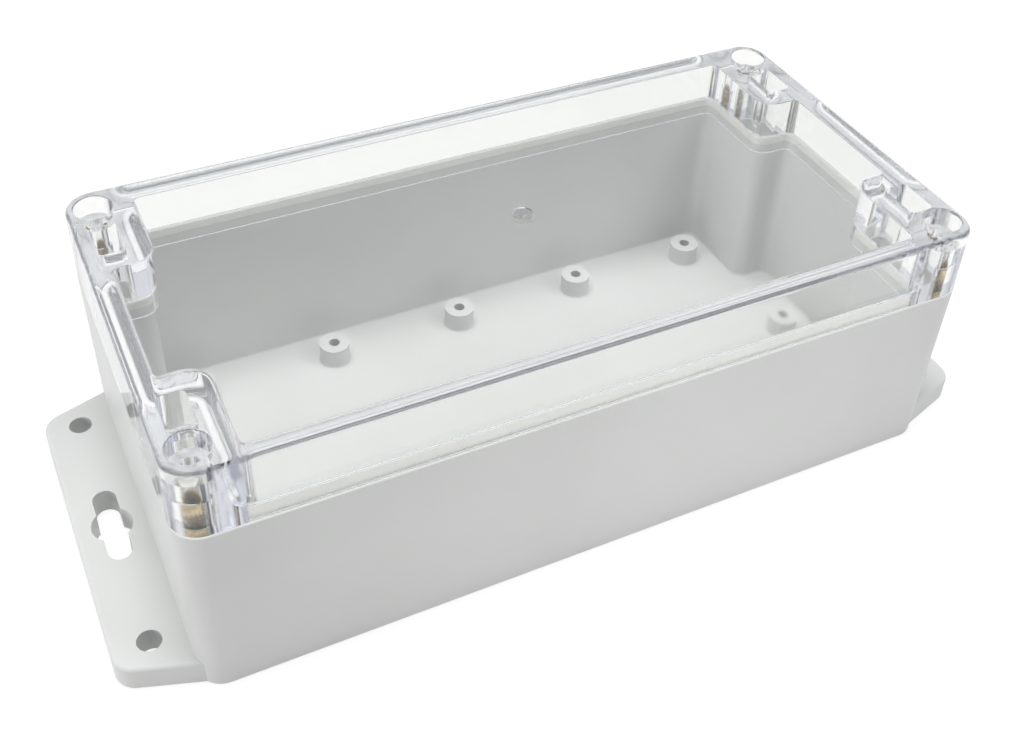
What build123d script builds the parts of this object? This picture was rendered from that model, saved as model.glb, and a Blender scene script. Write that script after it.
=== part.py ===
"""Watertight wall-mount enclosure with a clear lid, in millimetres.

The origin is the centre of the flat underside, +Z up, with the long side along X.
"""
from build123d import *
from math import radians, tan
import os

# Box
length = 160.0
width = 80.0
corner_radius = 5.5
split_height = 40.0
wall = 3.0
floor_thickness = 3.0
draft_angle = 0.6
bottom_edge_round = 0.5
split_edge_round = 0.35
floor_edge_round = 0.6

# Screw corners: the inside of the box steps round each one with a soft S
corner_block_length = 8.5
corner_block_width = 20.0
corner_block_round = 2.8
corner_wall = 3.0
core_depth = 4.0
core_corner_round = 1.2
screw_inset_x = 5.2
screw_inset_y = 6.0

# Rim: the base's inner wall runs on upward as a tongue into a groove of the lid. The gasket fills the groove,
# stands over the tongue and beside it, and carries the lid a little above the base
tongue_width = 0.7
tongue_height = 1.0
tongue_edge_round = 0.2
rim_clearance = 0.15
split_gap = 0.15
gasket_width = 1.2
gasket_thickness = 2.0
gasket_edge_round = 0.4

# Clear lid
lid_height = 15.0
plate_thickness = 2.5
lip_inset = 1.0
lip_drop = 1.0
lip_edge_round = 0.2
lid_edge_round = 1.2
lid_inner_round = 0.6
column_wall = 1.1
recess_gap = 0.2
head_bore_diameter = 7.4
head_bore_depth = 4.0
head_bore_round = 0.25
screw_hole_diameter = 3.4
gate_mark_diameter = 4.2
gate_mark_depth = 0.3
gate_nub_diameter = 1.4

# Brass inserts
insert_diameter = 4.0
insert_length = 12.0
insert_proud = 5.8
insert_bore = 2.5
insert_groove_depth = 0.3
insert_groove_length = 1.2
insert_chamfer = 0.3
insert_fit = 0.05
pilot_diameter = 3.2
pilot_depth = 14.0

# Board bosses on the floor: a row along each long wall and one at each end
boss_count = 5
boss_pitch = 30.25
boss_row_spacing = 57.2
end_boss_spacing = 137.0
boss_diameter = 6.6
boss_height = 4.5
boss_bore = 2.4
boss_bore_depth = 5.5
boss_foot_round = 0.4

# Mounting flanges: each stands out past the box and narrows towards its end
flange_reach = 13.0
flange_narrowing = 7.0
flange_root_inset = 7.0
flange_thickness = 5.5
flange_corner_radius = 4.5
flange_edge_round = 0.8
flange_tuck = 0.15
hole_inset_x = 7.0
hole_inset_y = 4.0
hole_diameter = 4.6
keyhole_diameter = 8.0
keyhole_slot_width = 4.6
keyhole_slot_length = 18.2

# How near a face or an edge must lie to the height it is looked for at
match_tolerance = 0.01

# Worked out from the sizes above
cavity_length = length - 2 * wall
cavity_width = width - 2 * wall
cavity_depth = split_height - floor_thickness
tongue_top = split_height + tongue_height
groove_inner = -rim_clearance
groove_outer = gasket_width + rim_clearance
groove_top = tongue_top + gasket_thickness
lid_top = split_height + lid_height
lid_bottom = split_height + split_gap
lip_bottom = split_height - lip_drop
plate_underside = lid_top - plate_thickness
screw_x = length / 2 - screw_inset_x
screw_y = width / 2 - screw_inset_y
column_radius = head_bore_diameter / 2 + column_wall
boss_top = floor_thickness + boss_height
insert_top = split_height + insert_proud
insert_seat = insert_top - insert_length
recess_top = insert_top + recess_gap
flange_length = length + 2 * flange_reach
flange_tip_width = width - 2 * flange_narrowing
hole_spacing_x = flange_length - 2 * hole_inset_x
hole_spacing_y = flange_tip_width - 2 * hole_inset_y


def cavity_outline(grow):
    """The inside outline of the box at the rim, moved outward by grow."""
    with BuildSketch() as outline:
        Rectangle(cavity_length, cavity_width)
        with GridLocations(cavity_length, cavity_width, 2, 2):
            Rectangle(
                2 * corner_block_length,
                2 * corner_block_width,
                mode=Mode.SUBTRACT,
            )
        fillet(outline.vertices(), radius=corner_block_round)
        if grow:
            offset(amount=grow, kind=Kind.ARC)
    return outline.sketch


def rim_band(inner, outer):
    """A band that follows the inside outline, between two distances outward from it."""
    with BuildSketch() as band:
        add(cavity_outline(outer))
        add(cavity_outline(inner), mode=Mode.SUBTRACT)
    return band.sketch


# The space behind the wavy wall in one screw corner, at +X +Y
pocket_inner_x = cavity_length / 2 - corner_block_length + corner_wall
pocket_inner_y = cavity_width / 2 - corner_block_width + corner_wall
pocket_outer_x = cavity_length / 2
pocket_outer_y = screw_y - column_radius


def corner_pockets():
    """The space behind the wavy wall in all four corners, beside the screws."""
    size_x = pocket_outer_x - pocket_inner_x
    size_y = pocket_outer_y - pocket_inner_y
    with BuildSketch() as pockets:
        with GridLocations(
            pocket_inner_x + pocket_outer_x,
            pocket_inner_y + pocket_outer_y,
            2,
            2,
        ):
            RectangleRounded(size_x, size_y, core_corner_round)
    return pockets.sketch


def at_screws():
    """The four screw positions."""
    return GridLocations(2 * screw_x, 2 * screw_y, 2, 2)


# Base: one moulding in light grey ABS, with its flanges, bosses and tongue
with BuildPart() as base:
    # The flange plate runs under the whole box, and its sides meet the box near the corners
    flange_waist_x = length / 2 - flange_root_inset
    flange_waist_y = width / 2 - split_height * tan(radians(draft_angle)) - flange_tuck
    with BuildSketch() as plate:
        with BuildLine():
            Polyline(
                (flange_length / 2, -flange_tip_width / 2),
                (flange_length / 2, flange_tip_width / 2),
                (flange_waist_x, flange_waist_y),
                (-flange_waist_x, flange_waist_y),
                (-flange_length / 2, flange_tip_width / 2),
                (-flange_length / 2, -flange_tip_width / 2),
                (-flange_waist_x, -flange_waist_y),
                (flange_waist_x, -flange_waist_y),
                close=True,
            )
        make_face()
        tips = plate.vertices().filter_by(lambda v: abs(v.X) > length / 2)
        fillet(tips, radius=flange_corner_radius)
    extrude(amount=flange_thickness)
    flange_top = base.faces().sort_by(Axis.Z)[-1]
    fillet(flange_top.edges(), radius=flange_edge_round)

    # Outer walls, drawn at the rim and drafted in towards the underside
    with BuildSketch(Plane.XY.offset(split_height)):
        RectangleRounded(length, width, corner_radius)
    extrude(amount=-split_height, taper=draft_angle)
    underside = base.faces().sort_by(Axis.Z)[0]
    fillet(underside.edges(), radius=bottom_edge_round)
    rim = base.faces().sort_by(Axis.Z)[-1]
    fillet(rim.edges(), radius=split_edge_round)

    # Hollow inside, with the wavy walls round the screw corners
    with BuildSketch(Plane.XY.offset(split_height)):
        add(cavity_outline(0))
    extrude(amount=-cavity_depth, taper=draft_angle, mode=Mode.SUBTRACT)
    floor = base.faces().filter_by(Axis.Z).filter_by(
        lambda f: abs(f.center().Z - floor_thickness) < match_tolerance
    )[0]
    fillet(floor.edges(), radius=floor_edge_round)

    # Tongue round the rim
    with BuildSketch(Plane.XY.offset(split_height)):
        add(rim_band(0, tongue_width))
    extrude(amount=tongue_height)
    tongue_face = base.faces().sort_by(Axis.Z)[-1]
    fillet(tongue_face.edges(), radius=tongue_edge_round)

    # Screw corners: a shallow core beside each insert boss
    with BuildSketch(Plane.XY.offset(split_height)):
        add(corner_pockets())
    extrude(amount=-core_depth, taper=draft_angle, mode=Mode.SUBTRACT)
    with BuildSketch(Plane.XY.offset(split_height)):
        with at_screws():
            Circle(insert_diameter / 2 + insert_fit)
    extrude(amount=insert_seat - split_height, mode=Mode.SUBTRACT)
    with BuildSketch(Plane.XY.offset(insert_seat)):
        with at_screws():
            Circle(pilot_diameter / 2)
    extrude(amount=-pilot_depth, mode=Mode.SUBTRACT)

    # Board bosses
    boss_rows = GridLocations(boss_pitch, boss_row_spacing, boss_count, 2)
    end_bosses = GridLocations(end_boss_spacing, 0, 2, 1)
    with BuildSketch(Plane.XY.offset(floor_thickness)):
        with boss_rows:
            Circle(boss_diameter / 2)
        with end_bosses:
            Circle(boss_diameter / 2)
    extrude(amount=boss_height)
    boss_feet = base.edges().filter_by(GeomType.CIRCLE).filter_by(
        lambda e: abs(e.arc_center.Z - floor_thickness) < match_tolerance
        and abs(e.radius - boss_diameter / 2) < match_tolerance
    )
    fillet(boss_feet, radius=boss_foot_round)
    with BuildSketch(Plane.XY.offset(boss_top)):
        with boss_rows:
            Circle(boss_bore / 2)
        with end_bosses:
            Circle(boss_bore / 2)
    extrude(amount=-boss_bore_depth, mode=Mode.SUBTRACT)

    # Flange holes, with a double keyhole between each pair
    with BuildSketch():
        with GridLocations(hole_spacing_x, hole_spacing_y, 2, 2):
            Circle(hole_diameter / 2)
        with GridLocations(hole_spacing_x, 0, 2, 1):
            Circle(keyhole_diameter / 2)
            SlotOverall(keyhole_slot_length, keyhole_slot_width, rotation=90)
    extrude(amount=flange_thickness, mode=Mode.SUBTRACT)

base.part.label = "base"

# Lid: one moulding in clear polycarbonate, a deep cap with a screw column in each corner
with BuildPart() as lid:
    with BuildSketch(Plane.XY.offset(lid_bottom)):
        RectangleRounded(length, width, corner_radius)
    extrude(amount=lid_top - lid_bottom, taper=draft_angle)
    lid_face = lid.faces().sort_by(Axis.Z)[-1]
    fillet(lid_face.edges(), radius=lid_edge_round)
    lid_foot = lid.faces().sort_by(Axis.Z)[0]
    fillet(lid_foot.edges(), radius=split_edge_round)

    # Hollow inside, with a lip that hangs down inside the base's wall
    with BuildSketch(Plane.XY.offset(lip_bottom)):
        add(cavity_outline(-rim_clearance))
    extrude(amount=lid_bottom - lip_bottom)
    with BuildSketch(Plane.XY.offset(lip_bottom)):
        add(cavity_outline(-lip_inset))
    extrude(amount=plate_underside - lip_bottom, taper=draft_angle, mode=Mode.SUBTRACT)
    ceiling = lid.faces().filter_by(Axis.Z).filter_by(
        lambda f: abs(f.center().Z - plate_underside) < match_tolerance
    )[0]
    fillet(ceiling.edges(), radius=lid_inner_round)
    lip_foot = lid.faces().sort_by(Axis.Z)[0]
    fillet(lip_foot.edges(), radius=lip_edge_round)

    # Groove over the tongue, with the gasket under its roof
    with BuildSketch(Plane.XY.offset(lid_bottom)):
        add(rim_band(groove_inner, groove_outer))
    extrude(amount=groove_top - lid_bottom, mode=Mode.SUBTRACT)

    # Screw corners: a core beside each column, and a recess under the column for the insert
    with BuildSketch(Plane.XY.offset(lid_bottom)):
        add(corner_pockets())
    extrude(amount=plate_underside - lid_bottom, taper=draft_angle, mode=Mode.SUBTRACT)
    with BuildSketch(Plane.XY.offset(lid_bottom)):
        with at_screws():
            Circle(insert_diameter / 2 + recess_gap)
    extrude(amount=recess_top - lid_bottom, mode=Mode.SUBTRACT)
    with Locations(Plane.XY.offset(lid_top)):
        with at_screws():
            CounterBoreHole(
                screw_hole_diameter / 2,
                head_bore_diameter / 2,
                head_bore_depth,
                depth=lid_height,
            )
    head_bores = lid.edges().filter_by(GeomType.CIRCLE).filter_by(
        lambda e: abs(e.arc_center.Z - lid_top) < match_tolerance
        and abs(e.radius - head_bore_diameter / 2) < match_tolerance
    )
    fillet(head_bores, radius=head_bore_round)

    # Gate mark in the middle of the plate
    with BuildSketch(Plane.XY.offset(lid_top)):
        Circle(gate_mark_diameter / 2)
        Circle(gate_nub_diameter / 2, mode=Mode.SUBTRACT)
    extrude(amount=-gate_mark_depth, mode=Mode.SUBTRACT)

lid.part.label = "lid"

# Gasket: a moulded strip that follows the wavy rim under the roof of the groove, with a skirt outside the tongue
with BuildPart() as gasket:
    with BuildSketch(Plane.XY.offset(tongue_top)):
        add(rim_band(0, gasket_width))
    extrude(amount=gasket_thickness)
    gasket_top = gasket.faces().sort_by(Axis.Z)[-1]
    fillet(gasket_top.edges(), radius=gasket_edge_round)
    with BuildSketch(Plane.XY.offset(split_height)):
        add(rim_band(tongue_width, gasket_width))
    extrude(amount=tongue_height)

gasket.part.label = "gasket"

os.makedirs("parts", exist_ok=True)
export_step(base.part, "parts/base.step")
export_step(lid.part, "parts/lid.step")
export_step(gasket.part, "parts/gasket.step")

# Brass inserts: turned, knurled in two bands with a groove between, pressed hot into the bosses
insert_sides = {
    "insert_front_left": (-1, -1),
    "insert_front_right": (1, -1),
    "insert_back_left": (-1, 1),
    "insert_back_right": (1, 1),
}
for insert_name, (side_x, side_y) in insert_sides.items():
    centre = (side_x * screw_x, side_y * screw_y, insert_seat)
    outer = insert_diameter / 2
    bore = insert_bore / 2
    groove_low = (insert_length - insert_groove_length) / 2
    groove_high = (insert_length + insert_groove_length) / 2
    with BuildPart() as insert:
        with BuildSketch(Plane(origin=centre, x_dir=(1, 0, 0), z_dir=(0, -1, 0))):
            with BuildLine():
                Polyline(
                    (bore, 0),
                    (outer - insert_chamfer, 0),
                    (outer, insert_chamfer),
                    (outer, groove_low),
                    (outer - insert_groove_depth, groove_low),
                    (outer - insert_groove_depth, groove_high),
                    (outer, groove_high),
                    (outer, insert_length - insert_chamfer),
                    (outer - insert_chamfer, insert_length),
                    (bore + insert_chamfer, insert_length),
                    (bore, insert_length - insert_chamfer),
                    close=True,
                )
            make_face()
        revolve(axis=Axis(centre, (0, 0, 1)))
    insert.part.label = insert_name
    export_step(insert.part, f"parts/{insert_name}.step")
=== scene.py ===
import math

import bpy
from mathutils import Matrix, Vector


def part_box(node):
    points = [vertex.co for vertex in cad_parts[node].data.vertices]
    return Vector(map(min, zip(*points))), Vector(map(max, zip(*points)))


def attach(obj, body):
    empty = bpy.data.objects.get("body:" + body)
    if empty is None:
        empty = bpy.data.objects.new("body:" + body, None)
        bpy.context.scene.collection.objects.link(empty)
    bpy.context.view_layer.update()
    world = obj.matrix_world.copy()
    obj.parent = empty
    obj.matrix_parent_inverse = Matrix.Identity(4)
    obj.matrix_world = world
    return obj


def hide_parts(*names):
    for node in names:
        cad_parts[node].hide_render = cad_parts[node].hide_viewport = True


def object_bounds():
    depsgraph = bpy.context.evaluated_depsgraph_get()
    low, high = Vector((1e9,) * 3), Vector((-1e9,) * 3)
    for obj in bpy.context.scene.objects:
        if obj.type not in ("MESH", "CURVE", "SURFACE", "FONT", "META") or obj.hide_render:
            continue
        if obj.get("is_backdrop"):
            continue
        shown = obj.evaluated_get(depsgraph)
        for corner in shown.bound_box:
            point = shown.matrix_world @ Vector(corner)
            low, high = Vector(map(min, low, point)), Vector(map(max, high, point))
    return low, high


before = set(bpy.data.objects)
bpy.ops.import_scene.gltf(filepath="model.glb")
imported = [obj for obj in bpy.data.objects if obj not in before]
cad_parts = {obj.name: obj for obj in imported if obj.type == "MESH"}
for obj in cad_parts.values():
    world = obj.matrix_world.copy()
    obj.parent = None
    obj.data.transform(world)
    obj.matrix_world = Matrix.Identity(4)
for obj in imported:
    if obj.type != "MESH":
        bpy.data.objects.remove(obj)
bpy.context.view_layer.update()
scene = bpy.context.scene


# ---- Base ----
# The lower half of the enclosure: one injection moulding in pale grey ABS with its flanges, board bosses and
# tongue. The mould is polished smooth, so the plastic has a satin shine with a very fine grain.
abs_light = (0.735, 0.745, 0.735, 1.0)
abs_dark = (0.700, 0.708, 0.698, 1.0)
abs_cloud_scale = 28.0
abs_cloud_detail = 3.0
abs_grain_scale = 2600.0
abs_grain_detail = 2.0
abs_grain_height = 0.000004
abs_smoothest, abs_roughest = 0.36, 0.42
abs_refraction = 1.54
noise_dark_end, noise_light_end = 0.35, 0.65


def new_finish(name):
    """A material with one Principled shader, and its nodes and links."""
    finish = bpy.data.materials.new(name)
    finish.use_nodes = True
    nodes = finish.node_tree.nodes
    links = finish.node_tree.links
    return finish, nodes, links, nodes["Principled BSDF"]


def noise_on(nodes, links, scale, detail):
    """Noise in the piece's own coordinates, in metres."""
    place = nodes.new("ShaderNodeTexCoord")
    noise = nodes.new("ShaderNodeTexNoise")
    noise.inputs["Scale"].default_value = scale
    noise.inputs["Detail"].default_value = detail
    links.new(place.outputs["Object"], noise.inputs["Vector"])
    return noise.outputs["Fac"]


def between(nodes, links, amount, low, high, start=0.0, end=1.0):
    """A number that runs from low to high as amount runs from start to end."""
    spread = nodes.new("ShaderNodeMapRange")
    spread.inputs["From Min"].default_value = start
    spread.inputs["From Max"].default_value = end
    spread.inputs["To Min"].default_value = low
    spread.inputs["To Max"].default_value = high
    links.new(amount, spread.inputs["Value"])
    return spread.outputs["Result"]


def clouds_on(nodes, links, scale, detail):
    """Noise spread out so that its clouds run all the way from 0 to 1."""
    noise = noise_on(nodes, links, scale, detail)
    return between(nodes, links, noise, 0.0, 1.0, noise_dark_end, noise_light_end)


def two_tones(nodes, links, amount, first, second):
    """A colour that wanders from the first tone to the second."""
    tone = nodes.new("ShaderNodeMix")
    tone.data_type = "RGBA"
    tone.inputs["A"].default_value = first
    tone.inputs["B"].default_value = second
    links.new(amount, tone.inputs["Factor"])
    return tone.outputs["Result"]


def bumped(nodes, links, height, distance):
    """A surface normal from a height between 0 and 1, distance metres high."""
    bump = nodes.new("ShaderNodeBump")
    bump.inputs["Distance"].default_value = distance
    links.new(height, bump.inputs["Height"])
    return bump.outputs["Normal"]


abs_plastic, nodes, links, shader = new_finish("grey ABS")
clouds = clouds_on(nodes, links, abs_cloud_scale, abs_cloud_detail)
grain = noise_on(nodes, links, abs_grain_scale, abs_grain_detail)
links.new(two_tones(nodes, links, clouds, abs_dark, abs_light), shader.inputs["Base Color"])
links.new(between(nodes, links, clouds, abs_smoothest, abs_roughest), shader.inputs["Roughness"])
links.new(bumped(nodes, links, grain, abs_grain_height), shader.inputs["Normal"])
shader.inputs["IOR"].default_value = abs_refraction
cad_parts["base"].material_slots[0].material = abs_plastic


# ---- Gasket ----
# A soft strip of pale silicone, L-shaped in section, pressed into the lid's groove. It stands on the base's
# tongue, follows the wavy rim and is seen only through the clear lid.
silicone_pale = (0.975, 0.975, 0.945, 1.0)
silicone_dull = (0.95, 0.95, 0.92, 1.0)
silicone_cloud_scale = 180.0
silicone_grain_scale = 1500.0
silicone_detail = 2.0
silicone_grain_height = 0.00001
silicone_smoothest, silicone_roughest = 0.55, 0.7
silicone_glow_share = 0.3
silicone_glow_tint = (1.0, 1.0, 0.9)
silicone_glow_depth = 0.0006

silicone, nodes, links, shader = new_finish("gasket silicone")
clouds = clouds_on(nodes, links, silicone_cloud_scale, silicone_detail)
grain = noise_on(nodes, links, silicone_grain_scale, silicone_detail)
links.new(two_tones(nodes, links, clouds, silicone_dull, silicone_pale), shader.inputs["Base Color"])
links.new(between(nodes, links, clouds, silicone_smoothest, silicone_roughest), shader.inputs["Roughness"])
links.new(bumped(nodes, links, grain, silicone_grain_height), shader.inputs["Normal"])
shader.inputs["Subsurface Weight"].default_value = silicone_glow_share
shader.inputs["Subsurface Radius"].default_value = silicone_glow_tint
shader.inputs["Subsurface Scale"].default_value = silicone_glow_depth
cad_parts["gasket"].material_slots[0].material = silicone


# ---- Brass inserts ----
# Four threaded bushes turned from brass rod, knurled in two bands with a plain groove between, and pressed
# hot into the corner bosses. Their upper ends stand clear of the base and show through the lid.
insert_radius = 0.002
insert_bore = 0.00125
insert_chamfer = 0.0003
insert_groove_depth = 0.0003
insert_groove_half = 0.0006
insert_teeth = 22
steps_per_tooth = 4
tooth_depth = 0.00014
tooth_lean = 0.35
knurled_from = 0.985
joined_within = 0.000001
brass_light = (0.72, 0.59, 0.36, 1.0)
brass_dark = (0.42, 0.33, 0.19, 1.0)
brass_stain_scale = 700.0
brass_stain_detail = 3.0
brass_grain_scale = 4000.0
brass_grain_detail = 1.0
brass_grain_height = 0.000006
brass_tarnished, brass_polished = 0.38, 0.22

brass, nodes, links, shader = new_finish("turned brass")
stain = clouds_on(nodes, links, brass_stain_scale, brass_stain_detail)
grain = noise_on(nodes, links, brass_grain_scale, brass_grain_detail)
links.new(two_tones(nodes, links, stain, brass_dark, brass_light), shader.inputs["Base Color"])
links.new(between(nodes, links, stain, brass_tarnished, brass_polished), shader.inputs["Roughness"])
links.new(bumped(nodes, links, grain, brass_grain_height), shader.inputs["Normal"])
shader.inputs["Metallic"].default_value = 1.0


def maths(nodes, links, operation, first, second=None):
    """One step of arithmetic on one or two values, each a number or another node's output."""
    node = nodes.new("ShaderNodeMath")
    node.operation = operation
    for socket, value in zip(node.inputs, (first, second)):
        if value is None:
            continue
        if isinstance(value, (int, float)):
            socket.default_value = value
        else:
            links.new(value, socket)
    return node.outputs[0]


def knurling_tree():
    """Turns a bush's profile round its axis and cuts leaning teeth into its widest bands."""
    tree = bpy.data.node_groups.new("Knurled bush", "GeometryNodeTree")
    face = tree.interface
    face.new_socket("Geometry", in_out="INPUT", socket_type="NodeSocketGeometry")
    names = {}
    for name, kind, value in (
        ("Teeth", "NodeSocketInt", insert_teeth),
        ("Steps per tooth", "NodeSocketInt", steps_per_tooth),
        ("Tooth depth", "NodeSocketFloat", tooth_depth),
        ("Tooth lean", "NodeSocketFloat", tooth_lean),
        ("Outer radius", "NodeSocketFloat", insert_radius),
        ("Finish", "NodeSocketMaterial", None),
    ):
        socket = face.new_socket(name, in_out="INPUT", socket_type=kind)
        if value is not None:
            socket.default_value = value
        names[name] = socket.identifier
    face.new_socket("Geometry", in_out="OUTPUT", socket_type="NodeSocketGeometry")
    nodes, links = tree.nodes, tree.links
    given = nodes.new("NodeGroupInput")
    result = nodes.new("NodeGroupOutput")

    def worked_out(operation, first, second=None):
        return maths(nodes, links, operation, first, second)

    # The profile goes round a circle with a whole number of steps to each tooth
    steps = worked_out("MULTIPLY", given.outputs["Teeth"], given.outputs["Steps per tooth"])
    ring = nodes.new("GeometryNodeCurvePrimitiveCircle")
    links.new(steps, ring.inputs["Resolution"])
    ring.inputs["Radius"].default_value = 1.0
    profile = nodes.new("GeometryNodeMeshToCurve")
    links.new(given.outputs["Geometry"], profile.inputs["Mesh"])
    swept = nodes.new("GeometryNodeCurveToMesh")
    links.new(ring.outputs["Curve"], swept.inputs["Curve"])
    links.new(profile.outputs["Curve"], swept.inputs["Profile Curve"])

    # The circle's own radius of 1 comes off again, and the teeth are cut where the bush is widest
    here = nodes.new("GeometryNodeInputPosition")
    split = nodes.new("ShaderNodeSeparateXYZ")
    links.new(here.outputs["Position"], split.inputs["Vector"])
    across = worked_out(
        "SQRT",
        worked_out(
            "ADD",
            worked_out("MULTIPLY", split.outputs["X"], split.outputs["X"]),
            worked_out("MULTIPLY", split.outputs["Y"], split.outputs["Y"]),
        ),
    )
    turn = worked_out("ARCTAN2", split.outputs["Y"], split.outputs["X"])
    reach = worked_out("ABSOLUTE", worked_out("SUBTRACT", across, 1.0))
    lean = worked_out(
        "DIVIDE",
        worked_out("MULTIPLY", split.outputs["Z"], given.outputs["Tooth lean"]),
        given.outputs["Outer radius"],
    )
    wave = worked_out("COSINE", worked_out("MULTIPLY", worked_out("ADD", turn, lean), given.outputs["Teeth"]))
    # The wave runs from -1 to 1 and the cut from 0 to 1
    cut_share = worked_out("SUBTRACT", 0.5, worked_out("MULTIPLY", wave, 0.5))
    cut = worked_out("MULTIPLY", cut_share, given.outputs["Tooth depth"])
    knurled_radius = worked_out("MULTIPLY", given.outputs["Outer radius"], knurled_from)
    widest = worked_out("GREATER_THAN", reach, knurled_radius)
    radius = worked_out("SUBTRACT", reach, worked_out("MULTIPLY", cut, widest))
    joined = nodes.new("ShaderNodeCombineXYZ")
    links.new(worked_out("MULTIPLY", radius, worked_out("COSINE", turn)), joined.inputs["X"])
    links.new(worked_out("MULTIPLY", radius, worked_out("SINE", turn)), joined.inputs["Y"])
    links.new(split.outputs["Z"], joined.inputs["Z"])
    moved = nodes.new("GeometryNodeSetPosition")
    links.new(swept.outputs["Mesh"], moved.inputs["Geometry"])
    links.new(joined.outputs["Vector"], moved.inputs["Position"])
    merged = nodes.new("GeometryNodeMergeByDistance")
    merged.inputs["Distance"].default_value = joined_within
    links.new(moved.outputs["Geometry"], merged.inputs["Geometry"])
    real = nodes.new("GeometryNodeRealizeInstances")
    links.new(merged.outputs["Geometry"], real.inputs["Geometry"])
    coat = nodes.new("GeometryNodeSetMaterial")
    links.new(real.outputs["Geometry"], coat.inputs["Geometry"])
    links.new(given.outputs["Finish"], coat.inputs["Material"])
    links.new(coat.outputs["Geometry"], result.inputs["Geometry"])
    return tree, names


knurling, knurling_inputs = knurling_tree()
for name in ("insert_front_left", "insert_front_right", "insert_back_left", "insert_back_right"):
    low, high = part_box(name)
    centre = (low + high) / 2
    outer = (high.x - low.x) / 2
    tall = high.z - low.z
    half = tall / 2
    # The profile as radius and height above the bush's lower end. The sweep takes it from the top down
    turned = [
        (insert_bore, 0),
        (outer - insert_chamfer, 0),
        (outer, insert_chamfer),
        (outer, half - insert_groove_half),
        (outer - insert_groove_depth, half - insert_groove_half),
        (outer - insert_groove_depth, half + insert_groove_half),
        (outer, half + insert_groove_half),
        (outer, tall - insert_chamfer),
        (outer - insert_chamfer, tall),
        (insert_bore + insert_chamfer, tall),
        (insert_bore, tall - insert_chamfer),
    ]
    outline = bpy.data.meshes.new(name + "_profile")
    outline.from_pydata(
        [(r, tall - z, 0) for r, z in reversed(turned)],
        [(k, (k + 1) % len(turned)) for k in range(len(turned))],
        [],
    )
    blank = bpy.data.objects.new(name + "_blank", outline)
    scene.collection.objects.link(blank)
    turning = blank.modifiers.new("knurling", "NODES")
    turning.node_group = knurling
    turning[knurling_inputs["Outer radius"]] = outer
    turning[knurling_inputs["Finish"]] = brass
    bpy.context.view_layer.update()
    ready = blank.evaluated_get(bpy.context.evaluated_depsgraph_get())
    mesh = bpy.data.meshes.new_from_object(ready)
    bpy.data.objects.remove(blank)
    mesh.transform(Matrix.Translation((centre.x, centre.y, high.z)))
    bush = bpy.data.objects.new(name + "_brass", mesh)
    scene.collection.objects.link(bush)
    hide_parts(name)
    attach(bush, "root")


# ---- Lid ----
# A deep cap moulded in clear polycarbonate: a flat plate, side walls with the groove for the gasket, and a
# column with a counterbore for a screw in each corner. It is polished, and its thick edges are faintly blue.
clear_tint = (0.980, 0.984, 0.964, 1.0)
clear_depth_tint = (0.83, 0.865, 1.0, 1.0)
clear_depth_density = 14.0
clear_refraction = 1.585
clear_wave_scale = 45.0
clear_wave_detail = 1.0
clear_wave_height = 0.00001
upright_roughness, flat_roughness = 0.06, 0.01
upright_until, flat_from = 0.6, 0.98
column_roughening = 2.2
column_radius = 0.008
column_fades_by = 0.011
gate_roughness = 0.45
gate_mark_radius = 0.0021
gate_mark_blend = 0.0002
light_let_through = (0.998, 0.998, 0.998, 1.0)


def vector_maths(nodes, links, operation, first):
    """A vector node with its first input linked."""
    node = nodes.new("ShaderNodeVectorMath")
    node.operation = operation
    links.new(first, node.inputs[0])
    return node


polycarbonate, nodes, links, shader = new_finish("clear polycarbonate")

# The plate comes off the mould's best polished face, and upright walls are a little less smooth
facing = nodes.new("ShaderNodeNewGeometry")
upright = nodes.new("ShaderNodeSeparateXYZ")
links.new(facing.outputs["True Normal"], upright.inputs["Vector"])
flatness = maths(nodes, links, "ABSOLUTE", upright.outputs["Z"])
wall_haze = between(nodes, links, flatness, upright_roughness, flat_roughness, upright_until, flat_from)

# The screw columns' sides are less polished than the walls
low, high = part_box("insert_back_right")
screw_place = (low + high) / 2
place = nodes.new("ShaderNodeTexCoord")
spot = nodes.new("ShaderNodeSeparateXYZ")
links.new(place.outputs["Object"], spot.inputs["Vector"])
flat_place = nodes.new("ShaderNodeCombineXYZ")
links.new(spot.outputs["X"], flat_place.inputs["X"])
links.new(spot.outputs["Y"], flat_place.inputs["Y"])
one_corner = vector_maths(nodes, links, "ABSOLUTE", flat_place.outputs["Vector"])
from_screw = vector_maths(nodes, links, "DISTANCE", one_corner.outputs["Vector"])
from_screw.inputs[1].default_value = (screw_place.x, screw_place.y, 0)
screw_distance = from_screw.outputs["Value"]
roughening = between(nodes, links, screw_distance, column_roughening, 1.0, column_radius, column_fades_by)
column_haze = maths(nodes, links, "MULTIPLY", wall_haze, roughening)

# The gate mark keeps the mould's matt spark finish
from_gate = vector_maths(nodes, links, "LENGTH", flat_place.outputs["Vector"])
gate_haze = between(
    nodes,
    links,
    from_gate.outputs["Value"],
    gate_roughness,
    0.0,
    gate_mark_radius - gate_mark_blend,
    gate_mark_radius,
)
haze = maths(nodes, links, "MAXIMUM", column_haze, gate_haze)
waves = noise_on(nodes, links, clear_wave_scale, clear_wave_detail)
shader.inputs["Base Color"].default_value = clear_tint
shader.inputs["Transmission Weight"].default_value = 1.0
shader.inputs["IOR"].default_value = clear_refraction
links.new(haze, shader.inputs["Roughness"])
links.new(bumped(nodes, links, waves, clear_wave_height), shader.inputs["Normal"])

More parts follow.
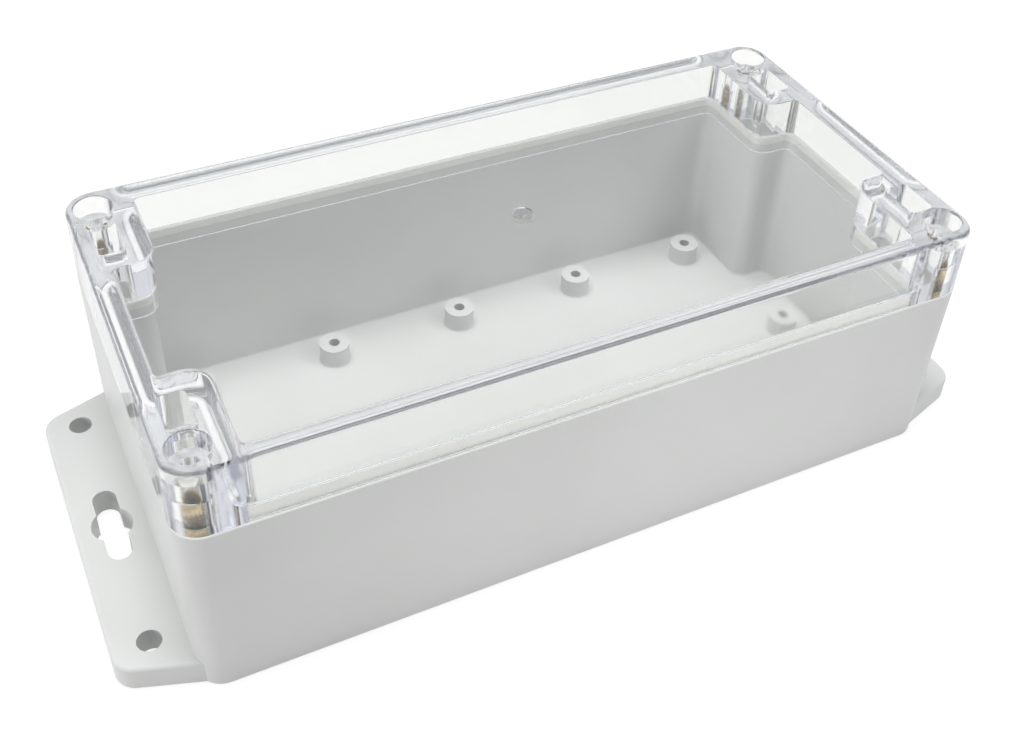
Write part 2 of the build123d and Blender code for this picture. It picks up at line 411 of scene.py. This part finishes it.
# Light on its way from a lamp to a dull surface goes straight through, so the inside isn't in the dark
path = nodes.new("ShaderNodeLightPath")
straight = maths(nodes, links, "MAXIMUM", path.outputs["Is Shadow Ray"], path.outputs["Is Diffuse Ray"])
open_way = nodes.new("ShaderNodeBsdfTransparent")
open_way.inputs["Color"].default_value = light_let_through
passing = nodes.new("ShaderNodeMixShader")
links.new(straight, passing.inputs["Fac"])
links.new(shader.outputs["BSDF"], passing.inputs[1])
links.new(open_way.outputs["BSDF"], passing.inputs[2])
links.new(passing.outputs["Shader"], nodes["Material Output"].inputs["Surface"])
depth = nodes.new("ShaderNodeVolumeAbsorption")
depth.inputs["Color"].default_value = clear_depth_tint
depth.inputs["Density"].default_value = clear_depth_density
links.new(depth.outputs["Volume"], nodes["Material Output"].inputs["Volume"])
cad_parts["lid"].material_slots[0].material = polycarbonate


# ---- Studio ----
# A plain white floor under a pale sky, with soft lamps overhead, at the left and at the front right, and a
# small fill in front of the long wall.
floor_reach = 3.0
floor_level = -0.0001
floor_for_light = (0.72, 0.72, 0.72, 1.0)
floor_for_shadows = (0.26, 0.26, 0.26, 1.0)
floor_glow_near, floor_glow_far = 0.80, 1.0
floor_near, floor_far = 0.4, 1.0
plain_white = (1.0, 1.0, 1.0, 1.0)
sky_light = 0.10
sky_tint = (0.94, 0.955, 1.0, 1.0)
sky_low_strength, sky_high_strength = 0.50, 0.85
sky_low, sky_high = 0.05, 0.7

floor_mesh = bpy.data.meshes.new("studio_floor")
floor_mesh.from_pydata(
    [
        (-floor_reach, -floor_reach, floor_level),
        (floor_reach, -floor_reach, floor_level),
        (floor_reach, floor_reach, floor_level),
        (-floor_reach, floor_reach, floor_level),
    ],
    [],
    [(0, 1, 2, 3)],
)
studio_floor = bpy.data.objects.new("studio_floor", floor_mesh)
scene.collection.objects.link(studio_floor)
studio_floor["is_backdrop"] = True
floor_paint, nodes, links, shader = new_finish("studio white")
matt = nodes.new("ShaderNodeBsdfDiffuse")
matt.inputs["Color"].default_value = floor_for_light
white = nodes.new("ShaderNodeBsdfDiffuse")
white.inputs["Color"].default_value = floor_for_shadows

# Far from the lamps the floor gets less light, so its own glow rises with distance
spot = nodes.new("ShaderNodeTexCoord")
away = vector_maths(nodes, links, "LENGTH", spot.outputs["Object"]).outputs["Value"]
glow_strength = between(nodes, links, away, floor_glow_near, floor_glow_far, floor_near, floor_far)
glow = nodes.new("ShaderNodeEmission")
links.new(glow_strength, glow.inputs["Strength"])
lit = nodes.new("ShaderNodeAddShader")
links.new(white.outputs["BSDF"], lit.inputs[0])
links.new(glow.outputs["Emission"], lit.inputs[1])

# The glow is for the eye, straight on or through the lid, and lights nothing
path = nodes.new("ShaderNodeLightPath")
bent = maths(nodes, links, "MAXIMUM", path.outputs["Is Glossy Ray"], path.outputs["Is Transmission Ray"])
seen = maths(nodes, links, "MAXIMUM", path.outputs["Is Camera Ray"], bent)
choice = nodes.new("ShaderNodeMixShader")
links.new(seen, choice.inputs["Fac"])
links.new(matt.outputs["BSDF"], choice.inputs[1])
links.new(lit.outputs["Shader"], choice.inputs[2])
links.new(choice.outputs["Shader"], nodes["Material Output"].inputs["Surface"])
floor_mesh.materials.append(floor_paint)

# The sky gives a little light, is darker towards the horizon in the lid, and is plain white behind the box
sky = bpy.data.worlds.new("pale sky")
scene.world = sky
sky.use_nodes = True
nodes, links = sky.node_tree.nodes, sky.node_tree.links
dome = nodes["Background"]
dome.inputs["Color"].default_value = plain_white
dome.inputs["Strength"].default_value = sky_light
heading = nodes.new("ShaderNodeTexCoord")
climb = nodes.new("ShaderNodeSeparateXYZ")
links.new(heading.outputs["Generated"], climb.inputs["Vector"])
sky_strength = between(
    nodes, links, climb.outputs["Z"], sky_low_strength, sky_high_strength, sky_low, sky_high
)
outside = nodes.new("ShaderNodeBackground")
outside.inputs["Color"].default_value = sky_tint
links.new(sky_strength, outside.inputs["Strength"])
backdrop = nodes.new("ShaderNodeBackground")
backdrop.inputs["Color"].default_value = plain_white
path = nodes.new("ShaderNodeLightPath")
bent = maths(nodes, links, "MAXIMUM", path.outputs["Is Glossy Ray"], path.outputs["Is Transmission Ray"])
mirrored = nodes.new("ShaderNodeMixShader")
links.new(bent, mirrored.inputs["Fac"])
links.new(dome.outputs["Background"], mirrored.inputs[1])
links.new(outside.outputs["Background"], mirrored.inputs[2])
behind = nodes.new("ShaderNodeMixShader")
links.new(path.outputs["Is Camera Ray"], behind.inputs["Fac"])
links.new(mirrored.outputs["Shader"], behind.inputs[1])
links.new(backdrop.outputs["Background"], behind.inputs[2])
links.new(behind.outputs["Shader"], nodes["World Output"].inputs["Surface"])


def soft_lamp(name, place, aim, size, watts):
    """A rectangular lamp at place, turned to aim, that lights the pieces but shows in none of them."""
    data = bpy.data.lights.new(name, "AREA")
    data.shape = "RECTANGLE"
    data.size, data.size_y = size
    data.energy = watts
    lamp = bpy.data.objects.new(name, data)
    scene.collection.objects.link(lamp)
    lamp.location = place
    lamp.rotation_euler = (Vector(aim) - Vector(place)).to_track_quat("-Z", "Y").to_euler()
    lamp.visible_transmission = False
    lamp.visible_glossy = False
    lamp.visible_camera = False


box_middle = (0.0, 0.0, 0.03)
soft_lamp("overhead softbox", place=(-0.07, 0.05, 0.9), aim=box_middle, size=(0.5, 0.5), watts=6.4)
soft_lamp("left softbox", place=(-0.9, -0.05, 0.20), aim=box_middle, size=(0.5, 0.3), watts=3.1)
soft_lamp("right softbox", place=(0.45, -0.35, 0.65), aim=box_middle, size=(0.4, 0.4), watts=1.95)
soft_lamp("front fill", place=(0.02, -0.16, 0.022), aim=(0.02, -0.04, 0.022), size=(0.10, 0.04), watts=0.030)


# ---- Camera ----
# It stands where the photograph's stood: in front, to the left and above, with the long lens's own centre
# above the middle of the frame.
frame_width = 1013.0
frame_height = 737.0
focal_pixels = 1334.847
lens_centre_row = 250.0
azimuth, elevation, roll = math.radians(-27.257), math.radians(38.062), math.radians(2.482)
aim = Vector((0.003188, 0.012398, 0.036115))
stand_off = 0.279117
film_width = 36.0
nearest_seen = 0.01
most_bounces = 32
most_mirror_bounces = 16

back = Vector((
    math.sin(azimuth) * math.cos(elevation),
    -math.cos(azimuth) * math.cos(elevation),
    math.sin(elevation),
))
level = Vector((math.cos(azimuth), math.sin(azimuth), 0.0))
upward = back.cross(level)
right = math.cos(roll) * level + math.sin(roll) * upward
up = math.cos(roll) * upward - math.sin(roll) * level
camera_data = bpy.data.cameras.new("camera")
camera_data.sensor_fit = "HORIZONTAL"
camera_data.sensor_width = film_width
camera_data.lens = focal_pixels / frame_width * film_width
camera_data.shift_y = (lens_centre_row - frame_height / 2) / frame_width
camera_data.clip_start = nearest_seen
camera = bpy.data.objects.new("camera", camera_data)
scene.collection.objects.link(camera)
turn = Matrix((right, up, back)).transposed().to_4x4()
camera.matrix_world = Matrix.Translation(aim + back * stand_off) @ turn
scene.camera = camera

scene.view_settings.view_transform = "Standard"
scene.cycles.max_bounces = most_bounces
scene.cycles.transmission_bounces = most_bounces
scene.cycles.transparent_max_bounces = most_bounces
scene.cycles.glossy_bounces = most_mirror_bounces

low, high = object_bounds()
